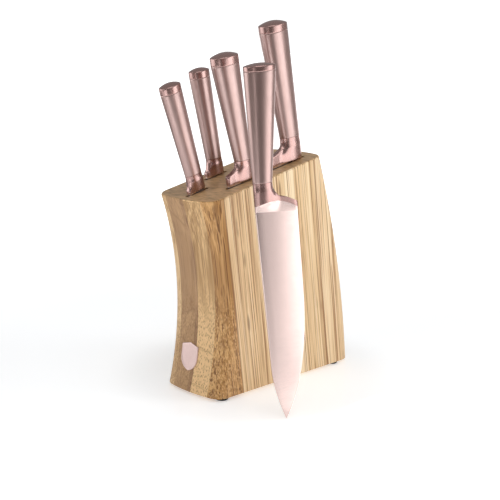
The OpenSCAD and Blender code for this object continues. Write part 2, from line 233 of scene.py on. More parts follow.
def board(node, mat, y0, y1, front=front_end, rear=rear_end, low=0.0, high=None, joints=()):
    """A glued board from low up to high, or to the block's top with its rim rounded over.

    A board that starts at the underside has its foot edge eased."""
    rings = []

    def add_ring(inset, height):
        rings.append(board_ring(y0, y1, front, rear, inset, height))

    start = low or FOOT_EDGE
    if low == 0.0:
        add_ring(FOOT_EDGE, lambda x: 0.0)
    if high is not None:
        for z in np.linspace(start, high, 4):
            add_ring(0.0, lambda x: z)
    else:
        for t in np.linspace(0, 1, 34):
            add_ring(0.0, lambda x: start + (top_z(x) - RIM_R - start) * t)
        for a in np.linspace(0, math.pi / 2, 7)[1:]:
            add_ring(RIM_R * (1 - math.cos(a)), lambda x: top_z(x) - RIM_R + RIM_R * math.sin(a))
        add_ring(RIM_R + RIM_FLAT, top_z)
    verts, faces = loft(rings)
    obj = make_mesh("wood_" + node, verts, faces, [mat])
    if joints:
        keep_between(obj, joints)
    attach(obj, "block")
    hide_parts(node)
    return obj


# ---------------------------------------------------------------- materials
def linear(r, g, b):
    """Display colour 0-255 to the linear colour that shaders take."""
    def one(c):
        c = c / 255
        return c / 12.92 if c <= 0.04045 else ((c + 0.055) / 1.055) ** 2.4
    return (one(r), one(g), one(b), 1.0)


def darker(color, share):
    return tuple(c * share for c in color[:3]) + (1.0,)


class Tree:
    """Short calls for building a material's nodes."""

    def __init__(self, name):
        self.mat = bpy.data.materials.new(name)
        self.mat.use_nodes = True
        self.nt = self.mat.node_tree
        self.bsdf = self.nt.nodes["Principled BSDF"]

    def add(self, kind, **settings):
        node = self.nt.nodes.new(kind)
        for k, v in settings.items():
            setattr(node, k, v)
        return node

    def put(self, socket, value):
        if isinstance(value, bpy.types.NodeSocket):
            self.nt.links.new(value, socket)
        else:
            socket.default_value = value

    def math(self, op, a, b=0.0):
        node = self.add("ShaderNodeMath", operation=op)
        for s, v in zip(node.inputs, (a, b)):
            self.put(s, v)
        return node.outputs[0]

    def plus(self, a, b):
        return self.math("ADD", a, b)

    def minus(self, a, b):
        return self.math("SUBTRACT", a, b)

    def times(self, a, b):
        return self.math("MULTIPLY", a, b)

    def centred(self, value, weight):
        """A texture value of 0 to 1 as a swing about zero."""
        return self.times(self.minus(value, 0.5), weight)

    def dot(self, vec, axis):
        node = self.add("ShaderNodeVectorMath", operation="DOT_PRODUCT")
        self.put(node.inputs[0], vec)
        node.inputs[1].default_value = axis
        return node.outputs["Value"]

    def vec(self, x, y, z):
        node = self.add("ShaderNodeCombineXYZ")
        for s, v in zip(node.inputs, (x, y, z)):
            self.put(s, v)
        return node.outputs[0]

    def noise(self, vec, scale=1.0, detail=3.0, rough=0.55, distort=0.0):
        node = self.add("ShaderNodeTexNoise")
        self.put(node.inputs["Vector"], vec)
        node.inputs["Scale"].default_value = scale
        node.inputs["Detail"].default_value = detail
        node.inputs["Roughness"].default_value = rough
        node.inputs["Distortion"].default_value = distort
        return node.outputs["Fac"]

    def voronoi(self, vec):
        node = self.add("ShaderNodeTexVoronoi")
        self.put(node.inputs["Vector"], vec)
        node.inputs["Scale"].default_value = 1.0
        return node.outputs["Distance"]

    def white(self, value):
        node = self.add("ShaderNodeTexWhiteNoise", noise_dimensions="1D")
        self.put(node.inputs["W"], value)
        return node.outputs["Value"]

    def span(self, value, a, b, lo=0.0, hi=1.0):
        """Runs smoothly from lo to hi while value goes from a to b."""
        node = self.add("ShaderNodeMapRange", interpolation_type="SMOOTHSTEP")
        self.put(node.inputs["Value"], value)
        for k, v in (("From Min", a), ("From Max", b), ("To Min", lo), ("To Max", hi)):
            node.inputs[k].default_value = v
        return node.outputs[0]

    def mix(self, fac, a, b):
        node = self.add("ShaderNodeMix", data_type="RGBA", blend_type="MIX")
        self.put(node.inputs[0], fac)
        self.put(node.inputs[6], a)
        self.put(node.inputs[7], b)
        return node.outputs[2]

    def bump(self, height, distance, strength):
        node = self.add("ShaderNodeBump")
        self.put(node.inputs["Height"], height)
        node.inputs["Distance"].default_value = distance
        node.inputs["Strength"].default_value = strength
        self.nt.links.new(node.outputs[0], self.bsdf.inputs["Normal"])

    def shader(self, **values):
        for k, v in values.items():
            self.put(self.bsdf.inputs[k.replace("_", " ")], v)


GRAIN = (-math.sin(GRAIN_LEAN), 0.0, math.cos(GRAIN_LEAN))
ACROSS = (math.cos(GRAIN_LEAN), 0.0, math.sin(GRAIN_LEAN))
SIDEWAYS = (0.0, 1.0, 0.0)
TOP_TONE, TOP_DARK = linear(210, 172, 126), linear(146, 116, 80)
KNOT_TONE = linear(120, 76, 34)
GLUE_TONE = linear(128, 84, 44)


def wood(name, light, mid, dark, seed, strip, contrast, speck=1.0, turn=0.0, painted_light=0.0,
         fleck=None, flecks_below=0.0, glue=()):
    """Solid laminated wood: strips along the leaning grain, fibres, pores and a few nodes.

    strip is a strip's width in m, speck the strength of the pores, turn the angle of the growth
    layers, flare how much paler the wood is painted where a surface cuts the grain, a painted highlight for faces
    that tilt up toward the light. fleck is the colour of the cut pores, which also show below the height
    flecks_below, and glue lists the places of the joints along the underside."""
    light, mid, dark = linear(*light), linear(*mid), linear(*dark)
    t = Tree(name)
    pos = t.add("ShaderNodeTexCoord").outputs["Object"]
    nor = t.add("ShaderNodeNewGeometry").outputs["Normal"]
    u = t.dot(pos, ACROSS)
    w = t.dot(pos, GRAIN)
    v = t.dot(pos, SIDEWAYS)
    cut = t.dot(nor, GRAIN)

    def place(by_u, by_v, by_w, shift=0.0):
        return t.vec(t.times(u, by_u), t.times(v, by_v), t.plus(t.times(w, by_w), shift))

    # strips, each with a tone of its own and a dark seam
    wander = t.noise(place(30, 30, 5), 1.0, 2)
    across = t.plus(t.math("DIVIDE", u, strip), t.plus(t.times(wander, 0.35), seed * 7.31))
    part = t.math("FRACT", across)
    tone = t.white(t.math("FLOOR", across))
    seam = t.span(t.math("MINIMUM", part, t.minus(1.0, part)), 0.0, 0.035, 1.0, 0.0)
    shift = t.plus(t.times(tone, 3.0), seed)

    # growth layers, fibres of two sizes and broad clouds
    side = Vector(SIDEWAYS)
    ring_u = t.dot(pos, tuple(Vector(ACROSS) * math.cos(turn) + side * math.sin(turn)))
    ring_v = t.dot(pos, tuple(side * math.cos(turn) - Vector(ACROSS) * math.sin(turn)))
    layers = t.vec(t.times(ring_u, 260), t.times(ring_v, 24), t.plus(t.times(w, 5), shift))
    broad = t.noise(layers, 1.0, 4, 0.62, 0.25)
    fine = t.noise(place(760, 760, 8, shift), 1.0, 3, 0.6)
    hair = t.noise(place(2100, 2100, 18, shift), 1.0, 2, 0.5)
    cloud = t.noise(place(45, 45, 14, shift), 1.0, 3)

    # pores, open where a surface cuts the grain but not on the top face
    dots = t.span(t.voronoi(place(720, 720, 260, shift)), 0.15, 0.5, 1.0, 0.0)
    mottle = t.noise(place(560, 560, 230, shift), 1.0, 2, 0.7)
    open_pores = t.span(cut, 0.04, 0.2)
    if flecks_below:
        low = t.span(w, flecks_below * 0.75, flecks_below * 1.1, 1.0, 0.0)
        open_pores = t.math("MAXIMUM", open_pores, low)
    speckled = t.times(t.times(open_pores, speck), t.span(cut, 0.75, 0.9, 1.0, 0.0))
    pored = t.times(dots, speckled)
    knot = t.voronoi(place(95, 40, 19, seed * 3.7))
    knot = t.times(t.span(knot, 0.08, 0.24, 1.0, 0.0), t.span(cloud, 0.40, 0.52))

    fac = t.centred(broad, 1.35 * contrast)
    for value, weight in ((fine, 0.75 * contrast), (hair, 0.3 * contrast), (tone, 0.42 * contrast), (cloud, 0.4)):
        fac = t.plus(fac, t.centred(value, weight))
    fac = t.plus(fac, t.times(t.centred(mottle, 1.15), speckled))
    fac = t.plus(fac, 0.39)
    base = t.mix(t.span(fac, 0.05, 0.5), light, mid)
    base = t.mix(t.span(fac, 0.5, 1.05), base, dark)
    streak = t.span(t.noise(place(430, 430, 2.6, shift), 1.0, 2, 0.5), 0.57, 0.66)
    streak = t.times(streak, t.span(hair, 0.3, 0.6))
    base = t.mix(t.times(streak, 0.42 * contrast), base, dark)
    thread = t.span(t.noise(place(640, 640, 6.0, shift), 1.0, 1, 0.5), 0.58, 0.65)
    base = t.mix(t.times(thread, 0.66 * contrast), base, dark)
    # painted highlight: paler where the surface cuts the grain and tilts up toward the light
    if painted_light:
        base = t.mix(t.span(cut, 0.0, 0.24, 0.0, painted_light), base, light)
    base = t.mix(t.times(pored, 0.42), base, linear(*fleck) if fleck else dark)
    base = t.mix(t.times(seam, 0.3), base, dark)
    base = t.mix(t.times(knot, 0.6), base, KNOT_TONE)
    for x in glue:
        off = t.math("ABSOLUTE", t.minus(u, x * MM * math.cos(GRAIN_LEAN)))
        base = t.mix(t.span(off, 0.0003, 0.0009, 0.5, 0.0), base, GLUE_TONE)

    # the sanded top face shows end grain
    end_grain = t.noise(t.vec(t.times(u, 260), t.times(v, 90), 0.0), 1.0, 4, 0.6)
    end_tone = t.mix(t.span(end_grain, 0.35, 0.8), TOP_TONE, TOP_DARK)
    base = t.mix(t.times(t.span(cut, 0.7, 0.93), 0.94), base, end_tone)
    t.shader(Base_Color=base, Roughness=t.span(t.plus(fine, pored), 0.2, 1.4, 0.40, 0.62), IOR=1.45,
             Coat_Weight=0.12, Coat_Roughness=0.3)
    raised = t.plus(t.times(fine, 0.6), t.times(hair, 0.4))
    sunk = t.plus(t.times(pored, 0.7), t.times(seam, 0.5))
    t.bump(t.minus(raised, sunk), 0.00012, 0.7)
    return t.mat


def rose(name, color, rough, brush, brush_axis, vary, bump, stretch=None):
    """Rose coated steel: fine lines along brush_axis, faint wiping marks and a little unevenness.

    stretch is the direction in which the lines spread a reflection."""
    t = Tree(name)
    pos = t.add("ShaderNodeTexCoord").outputs["Object"]
    a = Vector(brush_axis).normalized()
    b = a.cross(Vector((0.31, 0.9, 0.12))).normalized()
    c = a.cross(b)
    along = t.dot(pos, tuple(a))
    s1, s2 = t.dot(pos, tuple(b)), t.dot(pos, tuple(c))
    lines = t.noise(t.vec(t.times(s1, brush), t.times(s2, brush), t.times(along, brush * 0.02)), 1.0, 3, 0.6)
    wipe = t.noise(pos, 38, 3, 0.5, 0.6)
    spots = t.noise(pos, 900, 2)
    tint = t.mix(t.span(wipe, 0.3, 0.7), color, darker(color, 1 - vary))
    tint = t.mix(t.span(lines, 0.35, 0.7, 0.0, 0.22), tint, darker(color, 0.72))
    uneven = t.span(wipe, 0.25, 0.75, rough * 0.94, rough * 1.06)
    t.shader(Base_Color=tint, Roughness=t.plus(uneven, t.centred(lines, rough * 0.5)), Metallic=1.0)
    if stretch:
        t.bsdf.inputs["Anisotropic"].default_value = 0.75
        t.put(t.bsdf.inputs["Tangent"], t.vec(*stretch))
    t.bump(t.plus(lines, t.times(spots, 0.2)), bump, 0.5)
    return t.mat


def rubber():
    t = Tree("foot_rubber")
    pos = t.add("ShaderNodeTexCoord").outputs["Object"]
    grain = t.noise(pos, 2600, 3, 0.6)
    cloud = t.noise(pos, 160, 2)
    t.shader(Base_Color=t.mix(cloud, (0.004, 0.004, 0.004, 1), (0.012, 0.012, 0.013, 1)),
             Roughness=t.span(grain, 0.3, 0.7, 0.6, 0.85), Specular_IOR_Level=0.15)
    t.bump(grain, 0.00008, 0.6)
    return t.mat


def plated():
    t = Tree("screw_steel")
    pos = t.add("ShaderNodeTexCoord").outputs["Object"]
    cloud = t.noise(pos, 700, 3)
    t.shader(Base_Color=t.mix(cloud, (0.50, 0.50, 0.52, 1), (0.68, 0.68, 0.70, 1)),
             Roughness=t.span(cloud, 0.3, 0.7, 0.25, 0.42), Metallic=1.0)
    t.bump(cloud, 0.00002, 0.5)
    return t.mat


pale_wood = wood("pale_wood", (253, 227, 187), (234, 199, 149), (152, 98, 44),
                 seed=1.4, strip=0.0118, contrast=1.3, glue=(FRONT_JOINT, REAR_JOINT))
tan_wood = wood("tan_wood", (251, 225, 186), (235, 201, 154), (160, 106, 52),
                seed=2.6, strip=0.0135, contrast=1.25)
front_wood = wood("front_wood", (212, 164, 104), (178, 129, 71), (122, 78, 34),
                  seed=4.2, strip=0.0105, contrast=1.45, speck=1.9, turn=0.7,
                  fleck=(224, 180, 122), flecks_below=0.105, glue=(FRONT_JOINT,))
# core_wood and far_wood take a painted highlight (flare) where their faces cut the grain
core_wood = wood("core_wood", (234, 194, 140), (172, 132, 82), (126, 86, 44),
                 seed=5.7, strip=0.0120, contrast=0.95, speck=1.7, turn=-0.35, painted_light=0.85)
far_wood = wood("far_wood", (188, 148, 102), (166, 126, 84), (124, 86, 50),
                seed=8.3, strip=0.0110, contrast=0.75, speck=1.4, turn=0.3, painted_light=0.2)
outer_wood = wood("outer_wood", (224, 188, 140), (196, 156, 108), (140, 98, 54),
                  seed=3.3, strip=0.0128, contrast=1.0, speck=1.2)
strip_wood = wood("strip_wood", (178, 138, 96), (152, 112, 74), (108, 74, 44),
                  seed=9.1, strip=0.0102, contrast=0.8)

# ---------------------------------------------------------------- block
S = SLOT_W / 2
NEAR = (-HALF_W, -ROW_PITCH - S)
board("near_front_stave", front_wood, *NEAR, joints=[(FRONT_JOINT, -1)])
board("near_face_board", pale_wood, *NEAR, joints=[(FRONT_JOINT, 1), (REAR_JOINT, -1)])
board("near_rear_stave", tan_wood, *NEAR, joints=[(REAR_JOINT, 1)])
board("near_core_board", core_wood, -ROW_PITCH + S, -S)
board("far_core_board", far_wood, S, ROW_PITCH - S)
board("far_outer_board", outer_wood, ROW_PITCH + S, HALF_W)


# ---------------------------------------------------------------- knives, measured from the CAD nodes
def node_points(node):
    mesh = NODES[node].data
    co = np.zeros(len(mesh.vertices) * 3)
    mesh.vertices.foreach_get("co", co)
    return co.reshape(-1, 3) / MM


# How the displayed chef's knife stands, and the height of each bolster's neck above the heel line
DISPLAY_LEAN, DISPLAY_TURN = math.radians(5), math.radians(156)
NECK_H = {"paring": 17.5, "utility": 17.5, "slicer": 21, "santoku": 25, "chef": 23}
HEEL_H = {"paring": 4.5, "utility": 5.8, "slicer": 9.8, "santoku": 10.2, "chef": 3.3}


class Knife:
    """A knife's own frame and sizes in mm: x from edge (minus) to spine (0), y across, z up the spine.

    neck and butt are half heights of the handle, flat its thickness as a share of its height, and
    low_spine and low_edge say how far the bolster reaches below z = 0 at the two sides."""

    def __init__(self, name):
        self.name = name
        self.body = name + "_knife"
        up = Vector(JOINTS[name + "_knife_lift"]["axis"]).normalized()
        if name == "chef":
            turn = Matrix.Rotation(DISPLAY_TURN, 3, "Z") @ Matrix.Rotation(DISPLAY_LEAN, 3, "Y")
            self.x, self.y, self.z = (turn @ Vector(a) for a in ((1, 0, 0), (0, 1, 0), (0, 0, 1)))
        else:
            self.z = up
            self.y = Vector((0, 1, 0))
            self.x = self.y.cross(self.z)
        axes = np.array([self.x, self.y, self.z])
        local = {part: node_points(f"{name}_{part}") @ axes.T
                 for part in ("blade", "bolster", "handle", "cap")}
        shaft = local["handle"]
        self.x0 = local["blade"][:, 0].max()
        self.y0 = (local["cap"][:, 1].max() + local["cap"][:, 1].min()) / 2
        neck_low = shaft[:, 2].min()
        near_neck = shaft[shaft[:, 2] < neck_low + 0.5]
        near_butt = shaft[shaft[:, 2] > shaft[:, 2].max() - 0.5]
        self.neck = (near_neck[:, 0].max() - near_neck[:, 0].min()) / 2
        self.butt = (near_butt[:, 0].max() - near_butt[:, 0].min()) / 2
        heel = local["bolster"]
        self.z0 = neck_low - NECK_H[name]
        self.low_spine = self.z0 - heel[heel[:, 0] > self.x0 - 0.6][:, 2].min()
        self.low_edge = self.z0 - heel[:, 2].min()
        self.width = self.x0 - heel[:, 0].min()
        self.length = self.z0 - local["blade"][:, 2].min()
        self.high = neck_low - self.z0
        self.shaft = shaft[:, 2].max() - neck_low
        self.cap_h = local["cap"][:, 2].max() - shaft[:, 2].max()
        self.flat = (near_butt[:, 1].max() - near_butt[:, 1].min()) / 2 / self.butt

    def world(self, p):
        q = self.x * (p[0] + self.x0) + self.y * (p[1] + self.y0) + self.z * (p[2] + self.z0)
        return (q.x, q.y, q.z)

    def piece(self, part, verts, faces, mats, slot, **kw):
        obj = make_mesh(f"{self.name}_{part}_detail", [self.world(p) for p in verts], faces, mats, **kw)
        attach(obj, self.body)
        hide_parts(f"{self.name}_{part}")
        return obj


def bezier(a, b, c, n):
    a, b, c = (np.array(p, float) for p in (a, b, c))
    return [(1 - t) ** 2 * a + 2 * t * (1 - t) * b + t * t * c for t in np.linspace(0, 1, n)]


def smooth(t):
    t = min(1.0, max(0.0, t))
    return t * t * (3 - 2 * t)


OUTLINES = {  # tip drop, [end, pull] of the straight spine, [start, pull] of the belly, spine's fall
    "paring": (3, (0.45, 0.69), (0.4, 0.69), 0), "utility": (5, (0.5, 0.71), (0.4, 0.69), 0),
    "slicer": (9, (0.65, 0.8), (0.6, 0.79), 0), "chef": (13.5, (0.74, 0.85), (0.4, 0.8), 3),
}
BLADE_T = 2.2


def blade_sides(k):
    """Spine and edge of the blade as x for a given z, from the bolster down to the tip."""
    L, W = k.length, k.width
    if k.name == "santoku":
        spine = bezier((0, -L * 0.74), (0, -L), (-W * 0.82, -L), 120)
        edge = bezier((-W * 0.82, -L), (-W * 0.98, -L * 0.97), (-W, -L * 0.55), 120)
    else:
        drop, back, belly, fall = OUTLINES[k.name]
        tip = (-drop, -L)
        spine = bezier((-fall, -L * back[0]), (-fall * back[1] / back[0], -L * back[1]), tip, 120)
        edge = bezier(tip, (-W, -L * belly[1]), (-W, -L * belly[0]), 120)
    spine = np.array([(0.0, 5.0), (0.0, 0.0)] + [tuple(p) for p in spine])[::-1]
    edge = np.array([tuple(p) for p in edge] + [(-W, 0.0), (-W, 5.0)])
    return (lambda z: float(np.interp(z, spine[:, 1], spine[:, 0])),
            lambda z: float(np.interp(z, edge[:, 1], edge[:, 0])))


BEVEL_SHARES = [0.0, 0.012, 0.05, 0.2, 0.4, 0.6, 0.8, 0.93, 0.972, 1.0]   # from spine to edge
BEVEL_THICK = [0.55, 0.9, 1.0, 1.0, 1.0, 1.0, 1.0, 1.0, 0.95, 0.22]        # share of the full thickness
TIP_PART = 0.14                                                            # of the length, in close rings


def make_blade(k, mat):
    """Ground blade from just inside the bolster to the tip, thinner toward a fine edge bevel."""
    spine, edge = blade_sides(k)
    body = 1 - TIP_PART
    shares = list(np.linspace(0, body, 46))
    shares += [body + TIP_PART * math.sin(t * math.pi / 2) for t in np.linspace(0, 1, 34)[1:-1]]
    zs = [-k.length * share for share in shares] + [-k.length + 0.05]

    def half(x, thick):
        reach = min(1.0, max(0.0, -x / (k.width + 1)))
        return (0.1 + (BLADE_T / 2 - 0.1) * (1 - reach**2.2)) * thick

    def ring(z, height):
        a, b = spine(z), edge(z)
        near = [(a + (b - a) * s, half(a + (b - a) * s, thick), height(s))
                for s, thick in zip(BEVEL_SHARES, BEVEL_THICK)]
        return near + [(x, -y, h) for x, y, h in reversed(near)]

    slant = k.low_edge - k.low_spine
    rings = [ring(zs[0], lambda s: 1.0 - (k.low_spine + slant * s))]
    rings += [ring(z, lambda s: z) for z in zs[1:] if z <= -k.low_edge - 0.5]
    verts, faces = loft(rings)
    return k.piece("blade", verts, faces, [mat], "coated_blade", sharp=28, weighted=False)


OVAL_N = 64
OVAL_POWER = 2.1


def oval(half_h, half_t, centre_x, z):
    """Closed outline of the handle's section, a little fuller than an ellipse."""
    ring = []
    for i in range(OVAL_N):
        c, s = (f(2 * math.pi * i / OVAL_N) for f in (math.cos, math.sin))
        ring.append((centre_x + half_h * math.copysign(abs(c) ** (2 / OVAL_POWER), c),
                     half_t * math.copysign(abs(s) ** (2 / OVAL_POWER), s), z))
    return ring


def make_handle(k, mat):
    """Shaft that widens from neck to butt, with a fine groove where it meets the pieces beside it."""
    eased = {0.0: 0.22, 0.22: 0.06, k.shaft - 0.22: 0.06, k.shaft: 0.22}
    zs = [0.0, 0.22, 0.5] + list(np.linspace(1.2, k.shaft - 1.2, 26)) + [k.shaft - 0.5, k.shaft - 0.22, k.shaft]
    rings = []
    for z in zs:
        h = k.neck + (k.butt - k.neck) * z / k.shaft
        shrink = eased.get(z, 0.0)
        rings.append(oval(h - shrink, h * k.flat - shrink, -h, k.high + z))
    verts, faces = loft(rings)
    return k.piece("handle", verts, faces, [mat], "satin_handle", sharp=40, weighted=False)


CAP_RIM = 1.3
RIM_TURN = math.radians(64)
CAP_BAND = 4.8    # least height of the band with the rim


def make_cap(k, mat):
    """Band, small rounded rim and shallow dome."""
    base = k.high + k.shaft
    dome = min(0.2 * k.butt, k.cap_h - CAP_BAND)
    shoulder = k.cap_h - dome - CAP_RIM
    rings = []

    def add_ring(inset, z, share=1.0):
        rings.append(oval((k.butt - inset) * share, (k.butt * k.flat - inset) * share, -k.butt, base + z))

    add_ring(0.22, 0.0)
    add_ring(0.04, 0.25)
    for z in np.linspace(0.6, shoulder, 5):
        add_ring(0.0, z)
    for a in np.linspace(0, RIM_TURN, 7)[1:]:
        add_ring(CAP_RIM * (1 - math.cos(a)), shoulder + CAP_RIM * math.sin(a))
    start = shoulder + CAP_RIM * math.sin(RIM_TURN)
    for share in (0.9, 0.78, 0.62, 0.45, 0.28, 0.1):
        add_ring(CAP_RIM * (1 - math.cos(RIM_TURN)), start + (k.cap_h - start) * (1 - share**2), share)
    verts, faces = loft(rings)
    return k.piece("cap", verts, faces, [mat], "polished_cap", sharp=40, weighted=False)


# Bolster: crease height at the spine and in the middle, half thickness at the foot, reach of the neck
CREASE = {"chef": (2.8, 12.0, 1.5, 0.22), "others": (2.4, 3.0, 2.5, 0.4)}
PLATE = 3.1       # half thickness of the heel plate
NECK_ROWS, FOOT_ROWS, COLUMNS = 26, 5, 30


def make_bolster(k, polished, satin):
    """Neck that flares from the handle's oval to a flat heel plate, with a crease between the two."""
    W, N, H = k.width, k.neck, k.high
    heel_h = HEEL_H[k.name]
    spread = W - 2 * N
    crease_start, peak, foot_t, blend = CREASE["chef" if k.name == "chef" else "others"]
    crease_end = 3.0 - k.low_edge if k.name == "chef" else 1.6

    # edge side of the neck and heel, from the handle down to the crease
    side = ([np.array((-2 * N, H))]
            + bezier((-2 * N, H * 0.9), (-2 * N - min(1.9, 0.25 * spread), heel_h + 3),
                     (-W + min(2, 0.3 * spread), heel_h + 0.6), 34)
            + bezier((-W + min(1.9, 0.28 * spread), heel_h + 0.5), (-W, heel_h + 0.2), (-W, heel_h - 1.8), 8))
    side += [np.array((-W, z)) for z in np.linspace(heel_h - 1.8, crease_end, 5)[1:]]
    side = np.array(side)
    length = np.concatenate([[0], np.cumsum(np.linalg.norm(np.diff(side, axis=0), axis=1))])
    length /= length[-1]

    def edge_side(t):
        return np.array([np.interp(t, length, side[:, 0]), np.interp(t, length, side[:, 1])])

    def spine_side(t):
        return np.array([0.0, H + (crease_start - H) * t])

    def top(s):
        return np.array([-N + N * math.cos(math.pi * s), H])

    def crease(s):
        return np.array([-W * s, (1 - s) ** 2 * crease_start + 2 * s * (1 - s) * peak + s * s * crease_end])

    def bottom(s):
        return np.array([-W * s, -(k.low_spine + (k.low_edge - k.low_spine) * s)])

    def neck_part(x, t):
        """Half thickness of the neck's oval, which reaches toward the heel on the way down."""
        reach = N if x > -N else N + spread * blend * smooth(t)
        power = 1 / OVAL_POWER if x > -N else 1 / OVAL_POWER + 0.5 * smooth(t)
        return N * k.flat * (1 - 0.16 * t) * max(0.0, 1 - abs((x + N) / reach) ** OVAL_POWER) ** power

    # places across the width, close together at spine and edge
    columns = [(i / COLUMNS, 0.5 - 0.5 * math.cos(math.pi * i / COLUMNS)) for i in range(COLUMNS + 1)]
    rows = []
    for j in range(NECK_ROWS + 1):
        t = j / NECK_ROWS
        row = []
        for u, s in columns:
            p = ((1 - t) * top(u) + t * crease(s) + (1 - s) * spine_side(t) + s * edge_side(t)
                 - ((1 - t) * ((1 - s) * top(0) + s * top(1)) + t * ((1 - s) * crease(0) + s * crease(1))))
            edge_round = (1 - abs(2 * s - 1) ** (8 + 14 * t)) ** 0.5
            plate_part = PLATE * smooth(2.6 * t) * edge_round
            row.append((p[0], (neck_part(p[0], t) ** 2.4 + plate_part**2.4) ** (1 / 2.4), p[1]))
        rows.append(row)
    rim = [thick for _, thick, _ in rows[-1]]
    for j in range(1, FOOT_ROWS + 1):
        t = j / FOOT_ROWS
        row = []
        for (_, s), thick in zip(columns, rim):
            p = (1 - t) * crease(s) + t * bottom(s)
            row.append((p[0], thick + (min(thick, foot_t) - thick) * t**0.8, p[1]))
        rows.append(row)
    rings = [[(x, -thick, z) for x, thick, z in row] + [(x, thick, z) for x, thick, z in reversed(row[1:-1])]
             for row in rows]
    verts, faces = loft(rings)
    n = len(rings[0])
    face_mats = [0] * (NECK_ROWS * n) + [1] * (FOOT_ROWS * n) + [0, 1]
    return k.piece("bolster", verts, faces, [polished, satin], "polished_bolster",
                   face_mats=face_mats, sharp=30, weighted=False)


# Blades in the block get a darker copy of the blade coat, painted shade so that they show against a white
# background when lifted
ROSE_SATIN = linear(185, 156, 150)
ROSE_POLISH = linear(184, 149, 143)
ROSE_BLADE = linear(226, 202, 196)
ROSE_BLADE_SHADED = linear(166, 150, 146)
knives = {n: Knife(n) for n in ("paring", "utility", "slicer", "santoku", "chef")}
for name, k in knives.items():
    up = tuple(k.z)
    cross = tuple(k.x)
    satin = rose(f"{name}_satin", ROSE_SATIN, 0.33, 2600, up, 0.04, 0.000003)
    polish = rose(f"{name}_polish", ROSE_POLISH, 0.26, 900, up, 0.04, 0.000002)
    coat = rose(f"{name}_coat", ROSE_BLADE, 0.24, 3400, cross, 0.025, 0.000003, stretch=up)
    blade_coat_shaded_in_block = coat
    if name != "chef":
        # painted shade: the blades in the block take this darker copy of the coat
        blade_coat_shaded_in_block = rose(f"{name}_shaded_blade_coat", ROSE_BLADE_SHADED, 0.34, 3400, cross, 0.03, 0.000004)
    make_blade(k, blade_coat_shaded_in_block)
    make_bolster(k, polish, coat)
    make_handle(k, satin)
    make_cap(k, polish)

# ---------------------------------------------------------------- strips between the slots
SPINE_GAP, EDGE_GAP = 5.0, 2.5
SLOT_LEAN, FRONT_SLOT_LEAN = math.radians(10.5), math.radians(16.5)
# Where each knife's spine meets the top face, along X
SPINES = {"paring": -75.8, "utility": -31.4, "slicer": -33.8, "santoku": 32.3, "chef": 32.0}


def before(knife, lean):
    return slot_wall(SPINES[knife] - (knives[knife].width + EDGE_GAP) * math.cos(lean), lean)


def behind(knife, lean):
    return slot_wall(SPINES[knife] + SPINE_GAP, lean)


ROW_WOOD = {-ROW_PITCH: core_wood, 0.0: strip_wood, ROW_PITCH: far_wood}


def strip(node, row, **limits):
    board(node, ROW_WOOD[row], row - S, row + S, low=SLOT_FLOOR, **limits)


for prefix, row in (("near", -ROW_PITCH), ("centre", 0.0), ("far", ROW_PITCH)):
    board(prefix + "_strip_base", ROW_WOOD[row], row - S, row + S, high=SLOT_FLOOR)
strip("near_strip_front", -ROW_PITCH, rear=before("slicer", SLOT_LEAN))
strip("near_strip_middle", -ROW_PITCH, front=behind("slicer", SLOT_LEAN), rear=before("santoku", SLOT_LEAN))
strip("near_strip_rear", -ROW_PITCH, front=behind("santoku", SLOT_LEAN))
strip("centre_strip_front", 0.0, rear=before("paring", FRONT_SLOT_LEAN))
strip("centre_strip_rear", 0.0, front=behind("paring", FRONT_SLOT_LEAN))
strip("far_strip_front", ROW_PITCH, rear=before("utility", SLOT_LEAN))
strip("far_strip_middle", ROW_PITCH, front=behind("utility", SLOT_LEAN), rear=before("chef", SLOT_LEAN))
strip("far_strip_rear", ROW_PITCH, front=behind("chef", SLOT_LEAN))

# ---------------------------------------------------------------- feet and badge
foot_mat = rubber()
screw_mat = plated()
foot_lo, foot_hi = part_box("rubber_feet")
FOOT_R, FOOT_SIDES = 6.5, 56
# A foot's section as radius and height, from the screw's recess round to its hole
profile = [(3.3, 2.2), (3.3, 0.35), (3.7, 0.05), (4.2, 0.0), (5.2, 0.0), (5.7, 0.15), (6.05, 0.55),
           (6.25, 1.2), (6.42, 2.2), (6.5, 2.85), (6.35, 3.0), (1.8, 3.0), (1.7, 2.2)]
verts, faces = [], []
for cx in (foot_lo.x / MM + FOOT_R, foot_hi.x / MM - FOOT_R):
    for cy in (foot_lo.y / MM + FOOT_R, foot_hi.y / MM - FOOT_R):
        first = len(verts)
        for r, z in profile:
            for i in range(FOOT_SIDES):
                a = 2 * math.pi * i / FOOT_SIDES
                verts.append((cx + r * math.cos(a), cy + r * math.sin(a), foot_lo.z / MM + z))
        for j in range(len(profile)):
            j2 = (j + 1) % len(profile)
            for i in range(FOOT_SIDES):
                i2 = (i + 1) % FOOT_SIDES
                corners = ((j, i), (j, i2), (j2, i2), (j2, i))
                faces.append(tuple(first + row * FOOT_SIDES + column for row, column in corners))
feet = make_mesh("feet_detail", verts, faces, [foot_mat], sharp=40)
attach(feet, "block")
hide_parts("rubber_feet")
screws = NODES["foot_screws"]
screws.data.materials.clear()
screws.data.materials.append(screw_mat)

badge_mat = rose("badge_metal", linear(224, 196, 190), 0.42, 1500, (0, 0, 1), 0.05, 0.00002)
badge_lo, badge_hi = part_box("badge")
mid_y = (badge_lo.y + badge_hi.y) / 2 / MM
mid_z = (badge_lo.z + badge_hi.z) / 2 / MM
BADGE_W = (badge_hi.y - badge_lo.y) / MM
BADGE_H = 28.0
tilt = math.asin((HOLLOW_H - mid_z) / HOLLOW_R)
face_x = FRONT_X + math.sqrt(HOLLOW_R**2 - (HOLLOW_H - mid_z) ** 2) - END_BULGE


